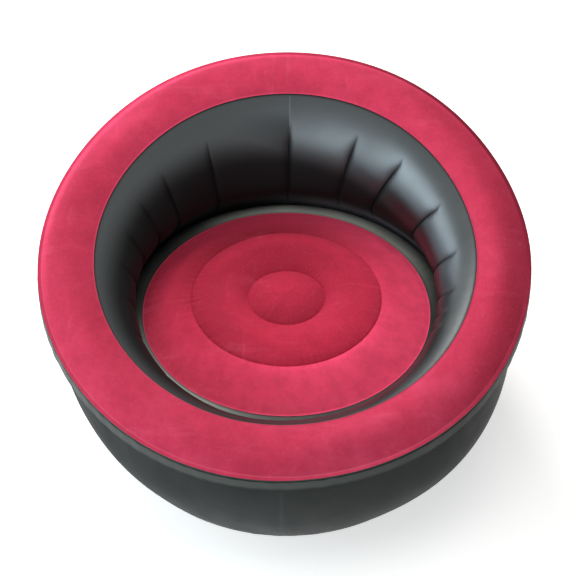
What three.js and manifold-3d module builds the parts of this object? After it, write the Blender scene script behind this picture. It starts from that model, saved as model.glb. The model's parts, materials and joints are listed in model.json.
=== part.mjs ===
// Round inflatable sofa, modelled pumped up, as the separate films it is welded from and its two air valves.
// Millimetres, +Z up, origin on the floor under the middle of the sofa, front facing -Y.
import * as THREE from 'three';
import { mergeVertices } from 'three/addons/utils/BufferGeometryUtils.js';
import Module from 'manifold-3d';

const wasm = await Module();
wasm.setup();

// Film, welds and fits
const film = 0.5;
const filmGap = 0.3;
const weldWidth = 8;
const fitGap = 0.3;
const cutOverrun = 2;

// Backrest ring: a flat top panel whose plane tilts up towards the back
const rimCentreHeight = 421;
const rimTiltDegrees = 16.9;
const rimOuterRadius = 488;
const rimWidth = 110;
const rimCrown = 13;

// Rounded lip under the rim's outer edge, down to the crease
const lipDrop = 36;
const lipStraightHeight = 25;
const lipSwell = 1;
const lipRoundIn = 7;
const lipRoundDrop = 8;
const creaseRecess = 22;

// Inner wall, from the rim's inner edge down to the seam round the seat
const seamRadius = 348;
const seamHeight = 232;
const innerBulgeFront = 30;
const innerBulgeSide = 55;
const innerBulgeBack = 52;
const equatorRiseFront = 50;
const equatorRiseSide = 80;
const equatorRiseBack = 100;
const pleatDepth = 7;
const pleatHalfWidthDegrees = 3;

// Outer wall, from the crease down to the floor
const floorRadius = 380;
const outerBulge = 29;

// Seat: shoulder, edge, two weld rings and the swell of the film between them
const shoulderRadius = 340;
const seatEdgeRadius = 293;
const seatEdgeHeight = 260;
const middleRingRadius = 193;
const middleRingHeight = 290;
const centreRingRadius = 78;
const centreRingHeight = 287;
const ringWeldWidth = 6;
const outerPuff = 15;
const middlePuff = 15;
const centrePuff = 15;

// Main valve: welded base, plug-in insert with its check flap, and cap
const mainBore = 15;
const mainCollarWall = 2.5;
const mainCollarProud = 4.5;
const mainSleeveDepth = 9;
const mainFlangeRadius = 25;
const mainFlangeThickness = 1.2;
const sealWidth = 1.6;
const sealHeight = 1;
const insertFlangeRadius = 18.5;
const insertFlangeThickness = 1.6;
const insertWall = 1.8;
const neckBore = 8;
const neckWall = 1.5;
const neckHeight = 4;
const spokeWidth = 1.6;
const spokeThickness = 1.5;
const spokeCount = 3;
const hubRadius = 2.2;
const flapOverlap = 1.6;
const flapThickness = 0.8;
const capRadius = 12;
const capThickness = 1.8;
const capPlugDepth = 3.4;
const capPlugClearance = 0.45;
const capKnobRadius = 5;
const capKnobHeight = 2.6;
const strapWidth = 7;
const strapThickness = 1.2;
const strapReach = 19;
const anchorWall = 2;
const anchorHeight = 1.6;

// Ring valve: a short stem with its own flap and plug
const stemBore = 3.4;
const stemWall = 1.4;
const stemProud = 1.2;
const stemDepth = 6;
const stemFlangeRadius = 9.5;
const stemFlangeThickness = 0.8;
const stemFlapThickness = 0.6;
const plugRadius = 6;
const plugThickness = 1.2;
const plugDepth = 1.8;
const plugClearance = 0.35;
const plugStrapWidth = 4;
const plugStrapReach = 9;

// Facet counts
const roundSteps = 48;
const pleatRoundSteps = 32;
const seatSteps = 40;
const webSteps = 32;
const puffSteps = 4;
const wallSteps = 6;
const outerWallSteps = 5;
const shoulderSteps = 4;
const crownSteps = 2;
const valveSteps = 32;
const stemSteps = 24;

// Azimuths of the creases in the inner wall, in degrees from the middle of the back, positive to the right
const pleatAzimuths = [
  -160, -138, -120, -104, -91, -77, -63.5, -50, -30, 0, 22, 39.5, 62.5, 81, 97, 106.5, 113.5, 128, 148,
];

// How full the inner wall's curve is below and above its equator
const wallRoundingPower = 1.4;
const wallTopPower = 0.8;

const tilt = THREE.MathUtils.degToRad(rimTiltDegrees);
const layerPitch = film + filmGap;
const tiltedPitch = layerPitch / Math.cos(tilt);
const rimInnerRadius = rimOuterRadius - rimWidth;
const creaseRadius = rimOuterRadius - creaseRecess;

function finish(name, color, roughness) {
  return new THREE.MeshStandardMaterial({ name, color, roughness, metalness: 0 });
}

const black = finish('black_film', 0x2b3030, 0.5);
const red = finish('red_flock', 0xc4344f, 0.95);
const clear = finish('valve_plastic', 0x3a3d40, 0.4);
const rubber = finish('valve_rubber', 0x1c1d1e, 0.8);

const sofa = new THREE.Group();

// A point of a section: radius, height and how far the circle is foreshortened from front to back
const flatPoint = (radius, height) => ({ radius, height, squash: 1 });

// A point on or near the tilted rim: rise is its height above the rim's plane
function rimPoint(azimuth, radius, rise) {
  const height = rimCentreHeight - radius * Math.cos(azimuth) * Math.sin(tilt) + rise;
  return { radius, height, squash: Math.cos(tilt) };
}

function mixPoints(low, high, share) {
  return {
    radius: THREE.MathUtils.lerp(low.radius, high.radius, share),
    height: THREE.MathUtils.lerp(low.height, high.height, share),
    squash: THREE.MathUtils.lerp(low.squash, high.squash, share),
  };
}

// A size that differs at the front, sides and back, carried smoothly round the sofa
function roundTheSofa(azimuth, front, side, back) {
  const mean = (front + back) / 4 + side / 2;
  const frontToBack = (front - back) / 2;
  const sideToEnds = (front + back) / 4 - side / 2;
  return mean + frontToBack * Math.cos(azimuth) + sideToEnds * Math.cos(2 * azimuth);
}

function placePoint(azimuth, point) {
  const x = point.radius * Math.sin(azimuth);
  const y = -point.radius * point.squash * Math.cos(azimuth);
  return new THREE.Vector3(x, y, point.height);
}

const evenAzimuths = (count) => Array.from({ length: count }, (_, i) => ((i + 0.5) * 2 * Math.PI) / count);

// Gives a section line the film's thickness: side is 1 for film on the right of its run, -1 for the left
function thickenSection(line, side, thickness = film) {
  const normals = line.slice(1).map((point, i) => {
    const run = new THREE.Vector2(point.radius - line[i].radius, point.height - line[i].height);
    run.normalize();
    return new THREE.Vector2(run.y * side, -run.x * side);
  });
  const back = line.map((point, i) => {
    const before = normals[Math.max(i - 1, 0)];
    const after = normals[Math.min(i, normals.length - 1)];
    const mitre = before.clone().add(after).normalize();
    const reach = thickness / mitre.dot(after);
    const radius = point.radius === 0 ? 0 : point.radius + mitre.x * reach;
    return { radius, height: point.height + mitre.y * reach, squash: point.squash };
  });
  return [...line, ...back.reverse()];
}

// A closed mesh through the same closed section at every azimuth; points on the axis are shared.
// The section's second half backs its first half, so its quads are split along the same diagonals.
function sweepSections(azimuths, sectionAt) {
  const vertices = [];
  const axisVertices = new Map();
  const rows = azimuths.map((azimuth) => sectionAt(azimuth).map((point) => {
    if (axisVertices.has(point.height) && point.radius === 0) return axisVertices.get(point.height);
    const index = vertices.push(placePoint(azimuth, point)) - 1;
    if (point.radius === 0) axisVertices.set(point.height, index);
    return index;
  }));
  const triangles = [];
  rows.forEach((row, i) => {
    const next = rows[(i + 1) % rows.length];
    row.forEach((corner, j) => {
      const k = (j + 1) % row.length;
      if (j < row.length / 2) triangles.push([corner, next[j], next[k]], [corner, next[k], row[k]]);
      else triangles.push([corner, next[j], row[k]], [next[j], next[k], row[k]]);
    });
  });
  return closedGeometry(vertices, triangles.filter(([a, b, c]) => a !== b && b !== c && c !== a));
}

function closedGeometry(vertices, triangles) {
  const volume = triangles.reduce((sum, [a, b, c]) => (
    sum + vertices[a].dot(new THREE.Vector3().crossVectors(vertices[b], vertices[c]))), 0);
  const faces = volume > 0 ? triangles : triangles.map(([a, b, c]) => [a, c, b]);
  const geometry = new THREE.BufferGeometry();
  const positions = vertices.flatMap((vertex) => vertex.toArray());
  geometry.setAttribute('position', new THREE.Float32BufferAttribute(positions, 3));
  geometry.setIndex(faces.flat());
  return geometry;
}

function toSolid(geometry) {
  const bare = geometry.clone();
  bare.deleteAttribute('normal');
  bare.deleteAttribute('uv');
  const merged = mergeVertices(bare);
  const vertProperties = new Float32Array(merged.attributes.position.array);
  const triVerts = new Uint32Array(merged.index.array);
  return new wasm.Manifold(new wasm.Mesh({ numProp: 3, vertProperties, triVerts }));
}

function fromSolid(solid) {
  const mesh = solid.getMesh();
  const geometry = new THREE.BufferGeometry();
  geometry.setAttribute('position', new THREE.Float32BufferAttribute(mesh.vertProperties, 3));
  geometry.setIndex(Array.from(mesh.triVerts));
  return geometry;
}

function join(first, ...others) {
  return fromSolid(others.reduce((sum, other) => sum.add(toSolid(other)), toSolid(first)));
}

function cut(body, ...tools) {
  return fromSolid(tools.reduce((rest, tool) => rest.subtract(toSolid(tool)), toSolid(body)));
}

function addPiece(parent, name, geometry, material) {
  const piece = new THREE.Mesh(geometry, material);
  piece.name = name;
  parent.add(piece);
  return piece;
}

// Rim top panel: flat weld strips along both edges and a low crown between them
function rimSection(azimuth) {
  const inner = rimInnerRadius + weldWidth;
  const outer = rimOuterRadius - weldWidth;
  const line = [rimPoint(azimuth, rimInnerRadius, 0)];
  for (let i = 0; i <= 2 * crownSteps; i += 1) {
    const share = i / (2 * crownSteps);
    const radius = THREE.MathUtils.lerp(inner, outer, share);
    line.push(rimPoint(azimuth, radius, rimCrown * Math.sin(Math.PI * share)));
  }
  line.push(rimPoint(azimuth, rimOuterRadius, 0));
  return thickenSection(line, 1);
}

// Lip band: weld flange under the rim panel, near-upright face, round underside, weld flange in the crease
function lipLine(azimuth) {
  const line = [
    rimPoint(azimuth, rimOuterRadius - weldWidth, -tiltedPitch),
    rimPoint(azimuth, rimOuterRadius, -tiltedPitch),
    rimPoint(azimuth, rimOuterRadius + lipSwell, -lipStraightHeight),
    rimPoint(azimuth, rimOuterRadius - lipRoundIn, -lipStraightHeight - lipRoundDrop),
    rimPoint(azimuth, creaseRadius, -lipDrop),
    rimPoint(azimuth, creaseRadius - weldWidth, -lipDrop),
  ];
  return line;
}

// Azimuths of the inner wall: each pleat with its two flanks, and even steps between pleats
function pleatedAzimuths() {
  const flank = THREE.MathUtils.degToRad(pleatHalfWidthDegrees);
  const largestStep = (2 * Math.PI) / pleatRoundSteps;
  const pleats = pleatAzimuths.map((degrees) => THREE.MathUtils.degToRad(180 - degrees));
  pleats.sort((a, b) => a - b);
  return pleats.flatMap((pleat, i) => {
    const following = i + 1 < pleats.length ? pleats[i + 1] : pleats[0] + 2 * Math.PI;
    const start = pleat + flank;
    const end = following - flank;
    const steps = Math.max(1, Math.round((end - start) / largestStep));
    const between = Array.from({ length: steps + 1 }, (_, k) => start + ((end - start) * k) / steps);
    return [pleat, ...between];
  });
}

function pleatFall(azimuth) {
  const flank = THREE.MathUtils.degToRad(pleatHalfWidthDegrees);
  const distances = pleatAzimuths.map((degrees) => {
    const away = Math.abs(azimuth - THREE.MathUtils.degToRad(180 - degrees)) % (2 * Math.PI);
    return Math.min(away, 2 * Math.PI - away);
  });
  return Math.max(0, 1 - Math.min(...distances) / flank);
}

// Inner wall: bulges in over the seat's shoulder, with creases deepest at its equator
function innerWallSection(azimuth) {
  const low = flatPoint(seamRadius, seamHeight);
  const high = rimPoint(azimuth, rimInnerRadius, -tiltedPitch);
  const rise = high.height - low.height;
  const bulge = roundTheSofa(azimuth, innerBulgeFront, innerBulgeSide, innerBulgeBack);
  const equator = roundTheSofa(azimuth, equatorRiseFront, equatorRiseSide, equatorRiseBack) / rise;
  const crease = pleatDepth * pleatFall(azimuth);
  const line = [flatPoint(seamRadius + weldWidth, seamHeight), low];
  for (let i = 1; i < wallSteps; i += 1) {
    const half = wallSteps / 2;
    const lower = i <= half;
    const part = lower ? i / half : (i - half) / (wallSteps - half);
    const share = lower ? equator * part : equator + (1 - equator) * part;
    const swell = lower
      ? Math.sin((Math.PI / 2) * part) ** wallRoundingPower
      : Math.cos((Math.PI / 2) * part) ** wallTopPower;
    const point = mixPoints(low, high, share);
    point.radius += crease * Math.sin(Math.PI * share) - bulge * swell;
    line.push(point);
  }
  line.push(high, rimPoint(azimuth, rimInnerRadius + weldWidth, -tiltedPitch));
  return thickenSection(line, 1);
}

// Divider web: closes the ring off from the drum below, from the seat's seam out to the crease
function dividerSection(azimuth) {
  const innerLayer = seamHeight - 2 * filmGap - film;
  const outerLayer = -lipDrop - filmGap / Math.cos(tilt);
  const line = [
    flatPoint(seamRadius, innerLayer),
    flatPoint(seamRadius + weldWidth + cutOverrun, innerLayer),
    rimPoint(azimuth, creaseRadius - weldWidth - cutOverrun, outerLayer),
    rimPoint(azimuth, creaseRadius, outerLayer),
  ];
  return thickenSection(line, 1);
}

// Outer wall: from the crease out over its belly and in to the floor seam
function outerWallLine(azimuth) {
  const outerLayer = -lipDrop - tiltedPitch - filmGap / Math.cos(tilt);
  const high = rimPoint(azimuth, creaseRadius, outerLayer);
  const low = flatPoint(floorRadius, layerPitch);
  const line = [rimPoint(azimuth, creaseRadius - weldWidth, outerLayer), high];
  for (let i = 1; i < outerWallSteps; i += 1) {
    const share = i / outerWallSteps;
    const point = mixPoints(high, low, share);
    point.radius += outerBulge * Math.sin(Math.PI * share);
    line.push(point);
  }
  line.push(low, flatPoint(floorRadius - weldWidth, layerPitch));
  return line;
}

// Seat side band: weld flange under the seat panel, round shoulder, weld flange in the seam
function seatSideSection() {
  const top = seatEdgeHeight - layerPitch;
  const bottom = seamHeight - filmGap;
  const line = [flatPoint(seatEdgeRadius - weldWidth, top)];
  for (let i = 0; i <= shoulderSteps; i += 1) {
    const turn = (Math.PI / 2) * (i / shoulderSteps);
    const radius = seatEdgeRadius + (shoulderRadius - seatEdgeRadius) * Math.sin(turn);
    line.push(flatPoint(radius, bottom + (top - bottom) * Math.cos(turn)));
  }
  line.push(flatPoint(seamRadius + weldWidth, bottom));
  return thickenSection(line, 1);
}

// Seat top panel: a dome, two welded valleys and the puffs between them
function seatSection() {
  const halfWeld = ringWeldWidth / 2;
  const line = [flatPoint(0, centreRingHeight + centrePuff)];
  const puff = (fromRadius, fromHeight, toRadius, toHeight, swell, startTurn) => {
    for (let i = 1; i <= puffSteps; i += 1) {
      const share = i / puffSteps;
      const turn = THREE.MathUtils.lerp(startTurn, Math.PI, share);
      const height = THREE.MathUtils.lerp(fromHeight, toHeight, share) + swell * Math.sin(turn);
      line.push(flatPoint(THREE.MathUtils.lerp(fromRadius, toRadius, share), height));
    }
  };
  const centreEnd = centreRingRadius + halfWeld;
  const middleEnd = middleRingRadius + halfWeld;
  puff(0, centreRingHeight, centreRingRadius - halfWeld, centreRingHeight, centrePuff, Math.PI / 2);
  line.push(flatPoint(centreEnd, centreRingHeight));
  puff(centreEnd, centreRingHeight, middleRingRadius - halfWeld, middleRingHeight, middlePuff, 0);
  line.push(flatPoint(middleEnd, middleRingHeight));
  puff(middleEnd, middleRingHeight, seatEdgeRadius - weldWidth, seatEdgeHeight, outerPuff, 0);
  line.push(flatPoint(seatEdgeRadius, seatEdgeHeight));
  return thickenSection(line, 1);
}

// A round web that ties a weld ring of the seat to the base panel, with a flange at each end
function seatWebSection(radius, ringHeight) {
  const top = ringHeight - layerPitch;
  const bottom = layerPitch;
  const halfWeld = ringWeldWidth / 2;
  const line = [
    flatPoint(radius + halfWeld, top),
    flatPoint(radius - halfWeld, top),
    flatPoint(radius - halfWeld, bottom),
    flatPoint(radius + halfWeld, bottom),
  ];
  return thickenSection(line, -1);
}

// Base panel: the flat disc that lies on the floor
const baseSection = () => [
  flatPoint(0, film),
  flatPoint(floorRadius, film),
  flatPoint(floorRadius, 0),
  flatPoint(0, 0),
];

// The flat facet of a wall line between two of its points, at the back: its middle and outward normal
function facetFrame(lineAt, index) {
  const halfStep = Math.PI / roundSteps;
  const middle = (i) => {
    const left = placePoint(Math.PI - halfStep, lineAt(Math.PI - halfStep)[i]);
    const right = placePoint(Math.PI + halfStep, lineAt(Math.PI + halfStep)[i]);
    return left.add(right).divideScalar(2);
  };
  const upper = middle(index);
  const lower = middle(index + 1);
  const frame = new THREE.Group();
  frame.position.addVectors(upper, lower).divideScalar(2);
  const run = lower.clone().sub(upper).normalize();
  const normal = new THREE.Vector3(0, -run.z, run.y);
  frame.setRotationFromMatrix(new THREE.Matrix4().makeBasis(new THREE.Vector3(1, 0, 0), run, normal));
  frame.updateMatrix();
  return frame;
}

// A turned piece about +Z of the valve's frame, through a closed loop of [radius, height] points
function turned(outline, steps = valveSteps) {
  const points = [...outline, outline[0]].map(([radius, height]) => new THREE.Vector2(radius, height));
  const geometry = new THREE.LatheGeometry(points, steps);
  geometry.rotateX(Math.PI / 2);
  return closedCopy(geometry);
}

// A lathe or box geometry with shared corners, no slivers and its faces out
function closedCopy(geometry) {
  const bare = geometry.clone();
  bare.deleteAttribute('normal');
  bare.deleteAttribute('uv');
  const merged = mergeVertices(bare);
  const corner = (i) => new THREE.Vector3().fromBufferAttribute(merged.attributes.position, i);
  const vertices = Array.from({ length: merged.attributes.position.count }, (_, i) => corner(i));
  const index = Array.from(merged.index.array);
  const triangles = [];
  for (let i = 0; i < index.length; i += 3) triangles.push(index.slice(i, i + 3));
  return closedGeometry(vertices, triangles.filter(([a, b, c]) => a !== b && b !== c && c !== a));
}

function ring(inner, outer, low, high, steps) {
  return turned([[inner, low], [outer, low], [outer, high], [inner, high]], steps);
}

const disc = (radius, low, high, steps) => ring(0, radius, low, high, steps);

function slab(width, fromY, toY, low, high) {
  const box = new THREE.BoxGeometry(width, toY - fromY, high - low);
  box.translate(0, (fromY + toY) / 2, (low + high) / 2);
  return closedCopy(box);
}

const inFrame = (geometry, frame) => geometry.clone().applyMatrix4(frame.matrix);

// Main valve on the outer wall, low at the back
const mainValve = facetFrame(outerWallLine, outerWallSteps - 1);
const collarRadius = mainBore + mainCollarWall;
const filmBack = -film - filmGap;
const mainHole = inFrame(disc(collarRadius + fitGap, -cutOverrun, cutOverrun, valveSteps), mainValve);

// Ring valve on the upright face of the lip, at the back
const ringValve = facetFrame(lipLine, 1);
const stemRadius = stemBore + stemWall;
const stemHole = inFrame(disc(stemRadius + fitGap, -cutOverrun, cutOverrun, stemSteps), ringValve);

const round = evenAzimuths(roundSteps);
const webRound = evenAzimuths(webSteps);
const outerWall = sweepSections(round, (azimuth) => thickenSection(outerWallLine(azimuth), 1));
const lipBand = sweepSections(round, (azimuth) => thickenSection(lipLine(azimuth), 1));

addPiece(sofa, 'rim_top_panel', sweepSections(round, rimSection), red);
addPiece(sofa, 'lip_band', cut(lipBand, stemHole), black);
addPiece(sofa, 'inner_wall', sweepSections(pleatedAzimuths(), innerWallSection), black);
addPiece(sofa, 'divider_web', sweepSections(round, dividerSection), black);
addPiece(sofa, 'outer_wall', cut(outerWall, mainHole), black);
addPiece(sofa, 'base_panel', sweepSections(round, baseSection), black);
addPiece(sofa, 'seat_side_band', sweepSections(round, seatSideSection), black);
addPiece(sofa, 'seat_top_panel', sweepSections(evenAzimuths(seatSteps), seatSection), red);
const middleWeb = sweepSections(webRound, () => seatWebSection(middleRingRadius, middleRingHeight));
const centreWeb = sweepSections(webRound, () => seatWebSection(centreRingRadius, centreRingHeight));
addPiece(sofa, 'seat_middle_web', middleWeb, black);
addPiece(sofa, 'seat_centre_web', centreWeb, black);

// Base of the main valve: a flange welded behind the film, and a collar that comes out through its hole
function mainValveBase() {
  return turned([
    [mainBore, -mainSleeveDepth],
    [collarRadius, -mainSleeveDepth],
    [collarRadius, filmBack - mainFlangeThickness],
    [mainFlangeRadius, filmBack - mainFlangeThickness],
    [mainFlangeRadius, filmBack],
    [collarRadius, filmBack],
    [collarRadius, mainCollarProud],
    [mainBore, mainCollarProud],
  ]);
}

const sealLow = mainCollarProud + fitGap;
const sealHigh = sealLow + sealHeight;
const insertFlangeLow = sealHigh + fitGap;
const insertFlangeHigh = insertFlangeLow + insertFlangeThickness;
const neckTop = insertFlangeHigh + neckHeight;
const sleeveRadius = mainBore - fitGap;
const sleeveBore = sleeveRadius - insertWall;
const neckRadius = neckBore + neckWall;

// Insert: sleeve in the base's bore, flange over the seal, neck for the cap, spokes behind the check flap
function mainValveInsert() {
  const body = turned([
    [sleeveBore, -mainSleeveDepth],
    [sleeveRadius, -mainSleeveDepth],
    [sleeveRadius, insertFlangeLow],
    [insertFlangeRadius, insertFlangeLow],
    [insertFlangeRadius, insertFlangeHigh],
    [neckRadius, insertFlangeHigh],
    [neckRadius, neckTop],
    [neckBore, neckTop],
    [neckBore, insertFlangeLow],
    [sleeveBore, insertFlangeLow],
  ]);
  const spokeLow = -mainSleeveDepth;
  const spokeHigh = spokeLow + spokeThickness;
  const seat = ring(neckBore, sleeveBore + insertWall / 2, spokeLow, spokeHigh);
  const hub = disc(hubRadius, spokeLow, spokeHigh);
  const spokes = Array.from({ length: spokeCount }, (_, i) => {
    const spoke = slab(spokeWidth, 0, neckRadius, spokeLow, spokeHigh);
    return spoke.rotateZ((2 * Math.PI * i) / spokeCount);
  });
  return join(body, seat, hub, ...spokes);
}

// Check flap: a soft disc that covers the spokes from inside, with its hinge tab at the top
const flapRadius = neckBore + flapOverlap;
const flapFace = -mainSleeveDepth - fitGap;
function checkFlap() {
  const tab = slab(strapWidth, -flapRadius - flapOverlap, 0, flapFace - flapThickness, flapFace);
  return join(disc(flapRadius, flapFace - flapThickness, flapFace), tab);
}

// Cap: plug, disc, knob and the strap down to its anchor ring on the neck
const capLow = neckTop + fitGap;
function valveCap() {
  const plug = neckBore - capPlugClearance;
  const body = turned([
    [0, neckTop - capPlugDepth],
    [plug, neckTop - capPlugDepth],
    [plug, capLow],
    [capRadius, capLow],
    [capRadius, capLow + capThickness],
    [capKnobRadius, capLow + capThickness],
    [capKnobRadius, capLow + capThickness + capKnobHeight],
    [0, capLow + capThickness + capKnobHeight],
  ]);
  return join(body, slab(strapWidth, capRadius / 2, strapReach, capLow, capLow + strapThickness));
}

const anchorLow = insertFlangeHigh + fitGap;
const anchorHigh = anchorLow + anchorHeight;
function capAnchor() {
  const inner = neckRadius + fitGap;
  const lug = slab(strapWidth, inner + anchorWall / 2, strapReach, anchorLow, anchorHigh);
  const post = slab(strapWidth, strapReach - anchorWall, strapReach, anchorLow, capLow - fitGap);
  return join(ring(inner, inner + anchorWall, anchorLow, anchorHigh), lug, post);
}

const sealBore = mainBore + fitGap;
addPiece(mainValve, 'main_valve_base', mainValveBase(), clear);
addPiece(mainValve, 'main_valve_seal', ring(sealBore, sealBore + sealWidth, sealLow, sealHigh), rubber);
addPiece(mainValve, 'main_valve_insert', mainValveInsert(), clear);
addPiece(mainValve, 'main_valve_check_flap', checkFlap(), rubber);
addPiece(mainValve, 'main_valve_cap_anchor', capAnchor(), clear);
addPiece(mainValve, 'main_valve_cap', valveCap(), clear);
sofa.add(mainValve);

// Stem of the ring valve: flange welded behind the film, tube through its hole, lug for the plug's strap
function ringValveStem() {
  const tube = turned([
    [stemBore, -stemDepth],
    [stemRadius, -stemDepth],
    [stemRadius, filmBack - stemFlangeThickness],
    [stemFlangeRadius, filmBack - stemFlangeThickness],
    [stemFlangeRadius, filmBack],
    [stemRadius, filmBack],
    [stemRadius, stemProud],
    [stemBore, stemProud],
  ], stemSteps);
  return join(tube, slab(plugStrapWidth, stemBore + stemWall / 2, plugStrapReach, filmGap, stemProud));
}

const stemFlapFace = -stemDepth - fitGap;
function ringValveFlap() {
  const low = stemFlapFace - stemFlapThickness;
  const tab = slab(plugStrapWidth, -stemRadius - stemWall, 0, low, stemFlapFace);
  return join(disc(stemRadius, low, stemFlapFace, stemSteps), tab);
}

const plugLow = stemProud + fitGap;
function ringValvePlug() {
  const body = turned([
    [0, stemProud - plugDepth],
    [stemBore - plugClearance, stemProud - plugDepth],
    [stemBore - plugClearance, plugLow],
    [plugRadius, plugLow],
    [plugRadius, plugLow + plugThickness],
    [0, plugLow + plugThickness],
  ], stemSteps);
  return join(body, slab(plugStrapWidth, plugRadius / 2, plugStrapReach, plugLow, plugLow + plugThickness));
}

addPiece(ringValve, 'ring_valve_stem', ringValveStem(), clear);
addPiece(ringValve, 'ring_valve_check_flap', ringValveFlap(), rubber);
addPiece(ringValve, 'ring_valve_plug', ringValvePlug(), clear);
sofa.add(ringValve);

export default sofa;
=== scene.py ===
# Dresses the round inflatable sofa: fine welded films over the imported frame, their materials,
# a pale stage and a camera.
import json
import math

import bmesh
import bpy
import numpy as np
from mathutils import Matrix, Vector


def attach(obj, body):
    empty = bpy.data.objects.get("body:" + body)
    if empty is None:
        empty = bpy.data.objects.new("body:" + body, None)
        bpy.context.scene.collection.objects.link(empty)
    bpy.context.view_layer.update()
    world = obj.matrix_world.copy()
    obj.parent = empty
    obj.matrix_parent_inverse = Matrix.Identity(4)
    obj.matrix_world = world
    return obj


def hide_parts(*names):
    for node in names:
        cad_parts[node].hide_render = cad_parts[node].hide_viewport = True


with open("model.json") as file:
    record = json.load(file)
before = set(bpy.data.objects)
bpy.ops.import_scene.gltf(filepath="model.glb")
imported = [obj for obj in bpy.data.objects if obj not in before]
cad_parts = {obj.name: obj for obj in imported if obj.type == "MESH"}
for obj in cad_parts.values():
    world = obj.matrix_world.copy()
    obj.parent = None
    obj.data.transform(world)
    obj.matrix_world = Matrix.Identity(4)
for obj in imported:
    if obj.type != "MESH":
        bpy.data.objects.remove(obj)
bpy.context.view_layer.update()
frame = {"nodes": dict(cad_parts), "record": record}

MM = 0.001

# Sizes of the sofa in millimetres, as in the part
FILM = 0.5
FILM_GAP = 0.3
WELD = 8.0
RIM_HEIGHT = 421.0
TILT = math.radians(16.9)
RIM_OUTER = 488.0
RIM_INNER = 378.0
RIM_CROWN = 13.0
RIM_INNER_WELD = 2.5
RIM_OUTER_WELD = 7.0
LIP_DROP = 36.0
LIP_STRAIGHT = 25.0
LIP_SWELL = 1.0
LIP_FULLNESS = 1.4
CREASE_RADIUS = RIM_OUTER - 22.0
SEAM_RADIUS = 348.0
SEAM_HEIGHT = 232.0
BULGE = (30.0, 60.0, 52.0)
EQUATOR_RISE = (50.0, 98.0, 96.0)
EQUATOR_LIFT = 18.0
LOWER_POWER = 1.4
UPPER_POWER = 0.74
UPPER_REACH = 0.96
FLOOR_RADIUS = 380.0
OUTER_BULGE = 29.0
OUTER_WALL_STEPS = 5
ROUND_STEPS = 48
SHOULDER_RADIUS = 340.0
SHOULDER_FULLNESS = 0.82
SEAT_RADIUS = 293.0
SEAT_HEIGHT = 260.0
MIDDLE_RING = (193.0, 290.0)
CENTRE_RING = (78.0, 287.0)
RING_WELD = 2.0
SEAT_EDGE_WELD = 2.5
OUTER_PUFF = 8.0
MIDDLE_PUFF = 15.0
CENTRE_PUFF = 16.0
PUFF_POWER = 0.74
MIDDLE_SKEW = 1.08
OUTER_RISE = 0.13
OUTER_FALL = 1.6
OUTER_CROWDING = 1.3
GROOVE_DEPTH = 0.3
LAYER = FILM + FILM_GAP
TILTED_LAYER = LAYER / math.cos(TILT)
OUTER_TOP_RISE = -LIP_DROP - TILTED_LAYER - FILM_GAP / math.cos(TILT)

# Holes in the films for the two valves, and how the film is pressed flat round them, in millimetres
MAIN_HOLE_RADIUS = 17.8
MAIN_FLAT_RADIUS = 27.0
MAIN_BLEND = 40.0
MAIN_REACH = 6.0
STEM_HOLE_RADIUS = 5.1
STEM_FLAT_RADIUS = 9.6
STEM_BLEND = 5.0
STEM_REACH = 2.5
STEM_DROP = 2.5
FLAT_SINK = 0.2
HOLE_DEPTH = 16.0

# Creases of the inner wall: angle from the middle of the back towards +X at their top and at their bottom,
# in degrees, and strength
CREASES = [
    (-160, -158, 0.45), (-138, -136, 0.5), (-120, -118, 0.5), (-104, -102, 0.6), (-91, -89, 0.7),
    (-78, -75.8, 0.8), (-64.8, -62.0, 0.9), (-51, -49.4, 1.0), (-30.5, -29.7, 0.95), (0, -0.6, 0.9),
    (24.5, 19.5, 0.9), (43.5, 34.0, 1.0), (66.5, 56.0, 1.0), (86, 79, 0.95), (100, 95, 0.85),
    (108.5, 105, 0.8), (114.5, 111.5, 0.7), (128, 125, 0.5), (148, 146, 0.45),
]
CREASE_DEPTH = 6.0
CREASE_FULL_RISE = 200.0
CREASE_LEFT = 8.0
CREASE_RIGHT = 4.0
CREASE_SOFTNESS = 0.8
FOLD_LEFT = 6.0
FOLD_RIGHT = 2.6
CREASE_FOOT = (0.10, 0.26)
CREASE_HEAD = (0.60, 0.82)
LEAN_FOOT = 0.25
LEAN_RUN = 0.55
HEAD_RAISE = 0.07
LOBE_DEPTH = 2.2
LOBE_PITCH = 120.0
COLUMN_PITCH = 3.4
LEAST_COLUMNS = 14
COLUMN_CROWDING = 0.7

# Where the blown-up rim and outer wall are drawn in: azimuth in degrees, depth in millimetres
# and half width in degrees
RIM_GIVE = [(-120, 6.5, 28), (15, 6.5, 30), (70, 7, 25), (115, 14, 30)]
WALL_GIVE = [(48, -10, 28), (-15, 4, 22)]
RIM_INNER_GIVE = 0.55

# Heights of the fine puckers and slow swells of the films, in millimetres
RIM_PUCKER = 0.3
RIM_SWELL = 0.6
LIP_PUCKER = 0.25
LIP_WAVE = 0.35
WALL_PUCKER = 0.3
WALL_SWELL = 0.5
OUTER_TOP_PUCKER = 0.7
OUTER_FLOOR_PUCKER = 1.0
OUTER_SWELL = 1.1
SIDE_PUCKER = 0.3
SIDE_WAVE = 0.5
SEAT_PUCKER = 0.45
SEAT_SWELL = 0.7

# How far the lap seams stand out and the rim's weld line sinks in, in millimetres
INNER_LAP = 0.4
OUTER_LAP = 0.3
RIM_LINE_SINK = 0.3

# Points round the sofa in each film, and in each line across it
RIM_COUNT = 480
SEAT_COUNT = 400
LOW_COUNT = 360
RIM_ROWS = 44
LIP_ROWS = 14
INNER_WALL_ROWS = 67
OUTER_WALL_ROWS = 61
SHOULDER_ROWS = 22
CENTRE_ROWS = 24
RING_ROWS = 44
BASE_ROWS = 48

# The angle up to which edges stay smooth, the sides of a valve's hole, and the widest phase of a swell
SMOOTH_ANGLE = math.radians(48)
DRILL_SIDES = 96
PHASES = 6.3

rng = np.random.RandomState(7)


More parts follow.
